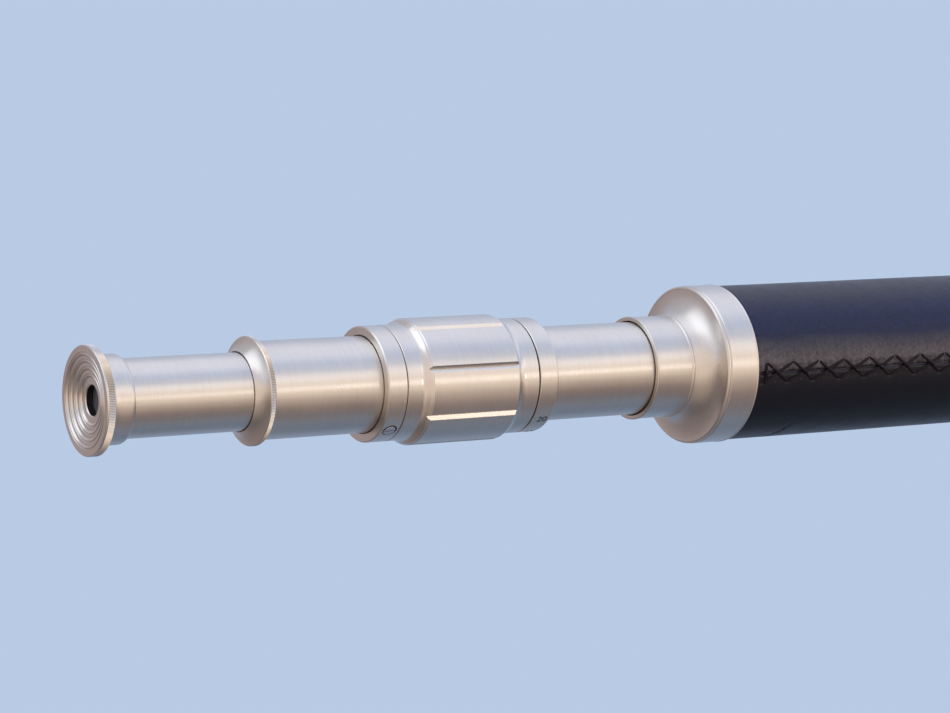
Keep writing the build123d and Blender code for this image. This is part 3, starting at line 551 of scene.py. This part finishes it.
def ring_arcs(radius):
    """Places round the leather, close together at the seam and wide apart elsewhere."""
    steps = int(round(2 * FINE_REACH / FINE_STEP))
    arcs = [-FINE_REACH + 2 * FINE_REACH * i / steps for i in range(steps + 1)]
    rest = 2 * math.pi * radius - 2 * FINE_REACH
    arcs += [FINE_REACH + rest * (i + 1) / COARSE_STEPS for i in range(COARSE_STEPS - 1)]
    return arcs


def new_mesh(name, points, faces):
    """A mesh from its points and faces."""
    mesh = bpy.data.meshes.new(name)
    mesh.from_pydata(points, [], faces)
    mesh.update()
    return mesh


def grid_mesh(name, rows):
    """A closed mesh from rows of points, each row a ring; the last row joins the first."""
    count = len(rows[0])
    points = [point for row in rows for point in row]
    faces = []
    for r in range(len(rows)):
        a = r * count
        b = (r + 1) % len(rows) * count
        for c in range(count):
            d = (c + 1) % count
            faces.append((a + c, a + d, b + d, b + c))
    return new_mesh(name, points, faces)


def add_piece(name, mesh, slot, materials, body):
    """Puts a mesh in the scene as a smooth piece that rides on a body."""
    obj = bpy.data.objects.new(name, mesh)
    bpy.context.scene.collection.objects.link(obj)
    for face in mesh.polygons:
        face.use_smooth = True
    mesh.materials.append(materials[slot])
    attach(obj, body)
    return obj


def leather_sheath(materials):
    """The hide as a closed sheath, with its butt seam, puckered lacing holes and tucked ends."""
    start, end = span("leather_wrap")
    radius = outer_radius("leather_wrap")
    inner = outer_radius("barrel_tube") + 0.03 * MM
    upper, lower = seam_holes()
    half = STITCH_HEIGHT / 2
    holes = [(x, half) for x in upper] + [(x, -half) for x in lower]
    arcs = ring_arcs(radius)
    elevations = [SEAM_ELEVATION + math.degrees(arc / radius) for arc in arcs]
    signed_arcs = [arc if arc <= math.pi * radius else arc - 2 * math.pi * radius for arc in arcs]
    count = int(round((end - start) / LENGTH_STEP))
    rows = []
    for i in range(count + 1):
        x = start + (end - start) * i / count
        near = [hole for hole in holes if abs(hole[0] - x) < HOLE_REACH]
        row = []
        for elevation, arc in zip(elevations, signed_arcs):
            row.append(on_tube(x, elevation, radius + leather_height(x, arc, start, end, near)))
        rows.append(row)
    for x in (end, start):
        rows.append([on_tube(x, elevation, inner) for elevation in elevations])
    piece = add_piece("leather_sheath", grid_mesh("leather_sheath", rows), "leather", materials, "barrel")
    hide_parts("leather_wrap")


# ---- Lacing ----------------------------------------------------------------------------------------

THREAD_R = 0.72 * MM
THREAD_SIDES = 12
THREAD_TIP = 0.6                # a stroke's ends are this much of the full thickness
PLIES = 2
PLY_VALLEY = 0.80               # radius between two plies, as a share of the thread's
PLY_LOBE = 0.22                 # what a ply's lobe adds to it
PLY_TWIST = 2 * math.pi / (2.6 * MM)    # radians to a metre of thread
HOLE_SINK = 0.9 * MM            # how deep the thread's ends go into the holes
HOLE_CLIMB = 11                 # how steeply they come out of them
THREAD_LIFT = 0.22 * MM         # how far a stroke's middle line lies off the hide
CROSSING_LIFT = 0.9 * MM        # what the upper stroke adds where it crosses the lower one
CROSSING_WIDTH = 0.12           # as a share of the stroke
STROKE_STEPS = 32
STITCH_PLAY = 0.35 * MM         # how unevenly the strokes were laid
LACING_SEED = 11
# The turn of thread at the sheath's edge
EDGE_TURN_X = 0.4 * MM          # how far behind the first hole it starts
EDGE_TURN_SLANT = 0.5 * MM      # how far back it runs on its way down
EDGE_TURN_DROP = 0.6 * MM       # how far below the lower holes it ends
EDGE_TURN_LIFT = 0.5 * MM       # what its middle adds to the thread's lift


def strand_rows(points):
    """Rings of points along a twisted strand; each ply shows as a lobe."""
    rows = []
    length = 0.0
    for i, point in enumerate(points):
        ahead = points[min(i + 1, len(points) - 1)]
        behind = points[max(i - 1, 0)]
        if i:
            length += (point - points[i - 1]).length
        along = (ahead - behind).normalized()
        out = Vector((0, point.y, point.z - AXIS_Z)).normalized()
        side = along.cross(out).normalized()
        out = side.cross(along).normalized()
        taper = min(1.0, THREAD_TIP + 2.0 * min(i, len(points) - 1 - i) / len(points))
        row = []
        for k in range(THREAD_SIDES):
            angle = 2 * math.pi * k / THREAD_SIDES
            lobe = PLY_VALLEY + PLY_LOBE * abs(math.cos(PLIES * (angle - PLY_TWIST * length) / 2))
            r = THREAD_R * lobe * taper
            row.append(point + r * (math.cos(angle) * out + math.sin(angle) * side))
        rows.append(row)
    return rows


def strand_faces(rows, offset):
    """Faces of a tube with capped ends, whose points start at the offset."""
    count = len(rows[0])
    faces = []
    for r in range(len(rows) - 1):
        a = offset + r * count
        b = a + count
        for c in range(count):
            d = (c + 1) % count
            faces.append((a + c, b + c, b + d, a + d))
    last = offset + (len(rows) - 1) * count
    faces.append(tuple(offset + c for c in range(count)))
    faces.append(tuple(last + c for c in reversed(range(count))))
    return faces


def stroke(x0, arc0, x1, arc1, lift, sag):
    """Points of one stroke of thread from hole to hole, over the hide."""
    radius = outer_radius("leather_wrap")
    points = []
    for i in range(STROKE_STEPS + 1):
        t = i / STROKE_STEPS
        rise = min(1.0, HOLE_CLIMB * min(t, 1 - t))
        rise = rise * rise * (3 - 2 * rise)
        r = radius - HOLE_SINK + (HOLE_SINK + THREAD_LIFT) * rise + lift * bell(t - 0.5, CROSSING_WIDTH)
        x = x0 + (x1 - x0) * t
        arc = arc0 + (arc1 - arc0) * t + sag * math.sin(math.pi * t)
        points.append(on_tube(x, SEAM_ELEVATION + math.degrees(arc / radius), r))
    return points


def lacing_strokes():
    """Every stroke of the crossed lacing, and one turn of thread at the sheath's edge."""
    random.seed(LACING_SEED)
    upper, lower = seam_holes()
    half = STITCH_HEIGHT / 2
    strokes = []
    for i in range(len(upper) - 1):
        play = [random.uniform(-STITCH_PLAY, STITCH_PLAY) for _ in range(6)]
        low_x, low_arc, high_x, high_arc, next_low_x, sag = play
        strokes.append(stroke(lower[i] + low_x, low_arc - half, upper[i + 1] + high_x, half,
                              0.0, 0.3 * sag))
        strokes.append(stroke(upper[i] + high_x, half + high_arc, lower[i + 1] + next_low_x, -half,
                              CROSSING_LIFT, 0.5 * high_arc))
    x = upper[0] - EDGE_TURN_X
    strokes.append(stroke(x, half, x - EDGE_TURN_SLANT, -half - EDGE_TURN_DROP, EDGE_TURN_LIFT, 0.0))
    return strokes


def lacing(materials):
    """Crossed lacing of twisted thread along the seam."""
    points = []
    faces = []
    for path in lacing_strokes():
        rows = strand_rows(path)
        faces += strand_faces(rows, len(points))
        points += [point for row in rows for point in row]
    piece = add_piece("lacing", new_mesh("lacing", points, faces), "thread", materials, "barrel")
    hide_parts("seam_thread")


# ---- Engraved scale --------------------------------------------------------------------------------

SCALE_MIDDLE_ELEVATION = -121.0  # degrees, measured as the seam's
SCALE_SPAN = 150.0              # degrees from the first figure to the last
SCALE_NUMBERS = ("20", "25", "30", "40", "50", "60")
FIGURE_HEIGHT = 5.0 * MM
FIGURE_OFFSET = 5.4 * MM        # middle of the figures, from the rear edge of the scale ring
FIGURE_RELIEF = 0.015 * MM
FIGURE_STROKE = 0.06 * MM       # what the engraver's cut adds to the weight of the strokes


def figure_mesh(text):
    """A flat figure, centred, with its faces up."""
    curve = bpy.data.curves.new("figure", "FONT")
    curve.body = text
    curve.size = FIGURE_HEIGHT
    curve.extrude = FIGURE_RELIEF
    curve.offset = FIGURE_STROKE
    curve.align_x = "CENTER"
    curve.align_y = "CENTER"
    flat = bpy.data.objects.new("figure_source", curve)
    bpy.context.scene.collection.objects.link(flat)
    bpy.context.view_layer.update()
    mesh = bpy.data.meshes.new_from_object(flat.evaluated_get(bpy.context.evaluated_depsgraph_get()))
    bpy.data.objects.remove(flat)
    return mesh


def scale_numbers(materials):
    """Zoom figures on the scale ring, filled with black wax and bent round it."""
    middle = span("scale_ring")[0] + FIGURE_OFFSET
    radius = outer_radius("scale_ring")
    for index, text in enumerate(SCALE_NUMBERS):
        mesh = figure_mesh(text)
        elevation = SCALE_MIDDLE_ELEVATION + SCALE_SPAN * (0.5 - index / (len(SCALE_NUMBERS) - 1))
        for vertex in mesh.vertices:
            across, up, out = vertex.co
            vertex.co = on_tube(middle + across, elevation + math.degrees(up / radius), radius + out)
        add_piece(f"scale_figure_{text}", mesh, "blackened", materials, "main_draw")


# ---- Stage, lights and camera ----------------------------------------------------------------------

BACKDROP = (0.485, 0.597, 0.775)
FLOOR_Z = -0.6
WALL_TOP = 5.0
STAGE_REACH = 6.0               # from the middle of the floor to the wall
BEND_R = 2.0                    # of the bend from the floor up into the wall
BEND_STEPS = 24
STAGE_SIDES = 96


def backdrop_paint():
    """A plain pale glow, the same from every side."""
    shader = Shader("stage")
    glow = shader.node("Emission")
    glow.inputs["Color"].default_value = colour(*BACKDROP)
    shader.feed(shader.tree.nodes["Material Output"].inputs["Surface"], glow.outputs[0])
    return shader.material


def stage_mesh():
    """A round floor that bends up into a wall, with no edge between them."""
    profile = []
    for i in range(BEND_STEPS + 1):
        angle = math.pi / 2 * i / BEND_STEPS
        profile.append((STAGE_REACH - BEND_R + BEND_R * math.sin(angle),
                        FLOOR_Z + BEND_R - BEND_R * math.cos(angle)))
    profile.append((STAGE_REACH, WALL_TOP))
    count = len(profile)
    centre = STAGE_SIDES * count
    points = []
    faces = []
    for side in range(STAGE_SIDES):
        turn = 2 * math.pi * side / STAGE_SIDES
        points += [(distance * math.cos(turn), distance * math.sin(turn), z) for distance, z in profile]
        a = side * count
        b = (side + 1) % STAGE_SIDES * count
        faces += [(a + r, b + r, b + r + 1, a + r + 1) for r in range(count - 1)]
        faces.append((centre, b, a))
    points.append((0, 0, FLOOR_Z))
    mesh = new_mesh("floor", points, faces)
    for face in mesh.polygons:
        face.use_smooth = True
    return mesh


def add_stage():
    """A plain pale floor far below the telescope, and a wall far round it, which only the camera sees."""
    mesh = stage_mesh()
    mesh.materials.append(backdrop_paint())
    floor = bpy.data.objects.new("floor", mesh)
    bpy.context.scene.collection.objects.link(floor)
    floor.visible_glossy = False
    floor.visible_diffuse = False
    floor.visible_transmission = False


# Light that comes from round the telescope's axis: degrees up from the near horizontal, over the top to
# 180 and under the bottom to -180. The forward ring lies towards the objective, the rearward one towards
# the eyepiece.
FORWARD_LIGHT = (
    (-180, (0.45, 0.52, 0.68)),
    (-144, (0.28, 0.36, 0.50)),
    (-105, (0.19, 0.24, 0.33)),
    (-80, (0.22, 0.25, 0.315)),
    (-60, (0.21, 0.19, 0.205)),
    (-42, (0.28, 0.22, 0.20)),
    (-24, (0.53, 0.42, 0.36)),
    (-6, (0.98, 0.81, 0.67)),
    (10, (1.06, 0.91, 0.80)),
    (30, (1.24, 1.17, 1.16)),
    (46, (0.72, 0.76, 0.90)),
    (62, (0.62, 0.72, 0.95)),
    (86, (0.86, 0.92, 1.12)),
    (112, (0.90, 0.93, 1.10)),
    (150, (0.56, 0.63, 0.80)),
    (180, (0.45, 0.52, 0.68)),
)
REARWARD_LIGHT = (
    (-180, (0.42, 0.35, 0.355)),
    (-139, (0.25, 0.205, 0.205)),
    (-90, (0.16, 0.14, 0.135)),
    (-50, (0.42, 0.33, 0.28)),
    (-10, (0.92, 0.74, 0.62)),
    (25, (0.94, 0.82, 0.74)),
    (53, (0.76, 0.74, 0.82)),
    (95, (1.02, 1.08, 1.20)),
    (143, (0.52, 0.51, 0.56)),
    (180, (0.42, 0.35, 0.355)),
)
REARWARD_UP_TO = -0.1           # the rearward ring lights directions whose X is below this
FORWARD_FROM = 0.35             # and the forward ring those above this, with a mixture between them


def ring_of_light(sky, turn, stops):
    """A colour ramp round the axis, for a turn that goes from 0 to 1."""
    node = sky.node("ValToRGB")
    ramp = node.color_ramp
    ramp.interpolation = "EASE"
    while len(ramp.elements) < len(stops):
        ramp.elements.new(0.5)
    for element, stop in zip(ramp.elements, stops):
        element.position = (stop[0] + 180) / 360
    for element, stop in zip(ramp.elements, stops):
        element.color = colour(*stop[1])
    sky.feed(node.inputs[0], turn)
    return node.outputs["Color"]


def add_surroundings():
    """Soft studio light that changes with the angle round the telescope's axis and from end to end."""
    world = bpy.data.worlds.new("studio")
    bpy.context.scene.world = world
    world.use_nodes = True
    sky = Nodes(world.node_tree)
    x, y, z = sky.separate(sky.node("TexCoord").outputs["Generated"])
    angle = sky.math("ARCTAN2", z, sky.math("MULTIPLY", y, -1.0))
    turn = sky.rescale(angle, -math.pi, math.pi, 0.0, 1.0)
    forward = sky.rescale(x, REARWARD_UP_TO, FORWARD_FROM, 0.0, 1.0, interpolation="SMOOTHSTEP")
    rearward_light = ring_of_light(sky, turn, REARWARD_LIGHT)
    light = sky.mix(forward, rearward_light, ring_of_light(sky, turn, FORWARD_LIGHT))
    sky.feed(world.node_tree.nodes["Background"].inputs["Color"], light)


LIGHT_DISTANCE = 1.7
# Two soft boxes: name, direction from the grip, side in metres, brightness and colour
SOFT_BOXES = (
    ("overhead_box", (-0.62, 0.15, 0.77), 1.5, 0.42, (0.96, 0.98, 1.0)),
    ("near_box", (0.51, -0.86, 0.06), 0.24, 2.1, (1.0, 0.96, 0.90)),
)


def add_soft_boxes():
    """Square lights that give the edges, flutes and hollows their crisp highlights."""
    middle = Vector((sum(span("grip_ring")) / 2, 0, AXIS_Z))
    for name, direction, size, brightness, tint in SOFT_BOXES:
        towards = Vector(direction).normalized()
        lamp = bpy.data.lights.new(name, "AREA")
        lamp.size = size
        lamp.energy = math.pi * size * size * brightness
        lamp.color = tint
        light = bpy.data.objects.new(name, lamp)
        light.location = middle + LIGHT_DISTANCE * towards
        light.rotation_euler = towards.to_track_quat("Z", "Y").to_euler()
        light.visible_camera = False
        bpy.context.scene.collection.objects.link(light)


FOCAL_MM = 117.85
SENSOR_MM = 36.0
CAMERA_DISTANCE = 1.402
CAMERA_TURN = 59.04             # degrees between the view and the optical axis, seen from above
CAMERA_PITCH = 5.38             # degrees that the view looks down
CAMERA_RISE = 9.45 * MM         # puts the telescope a little below the middle of the view
ANCHOR_OFFSET = -18.9 * MM      # what the camera looks at, from the rear edge of the scale ring


def add_camera():
    """Long-lens view of the eyepiece end from the near side, a little above the axis."""
    turn = math.radians(CAMERA_TURN)
    pitch = math.radians(CAMERA_PITCH)
    ahead = Vector((math.cos(turn) * math.cos(pitch), math.sin(turn) * math.cos(pitch), -math.sin(pitch)))
    right = ahead.cross(Vector((0, 0, 1))).normalized()
    up = right.cross(ahead)
    anchor = Vector((span("scale_ring")[0] + ANCHOR_OFFSET, 0, AXIS_Z))
    camera = bpy.data.objects.new("camera", bpy.data.cameras.new("camera"))
    bpy.context.scene.collection.objects.link(camera)
    camera.location = anchor - CAMERA_DISTANCE * ahead + CAMERA_RISE * up
    camera.rotation_euler = Matrix((right, up, -ahead)).transposed().to_euler()
    camera.data.lens = FOCAL_MM
    camera.data.sensor_width = SENSOR_MM
    camera.data.clip_end = 100.0
    bpy.context.scene.camera = camera


# ---- Scene -----------------------------------------------------------------------------------------

bpy.context.scene.view_settings.view_transform = "Standard"
materials = make_materials()
dress_cad(materials)
leather_sheath(materials)
lacing(materials)
scale_numbers(materials)
add_stage()
add_surroundings()
add_soft_boxes()
add_camera()
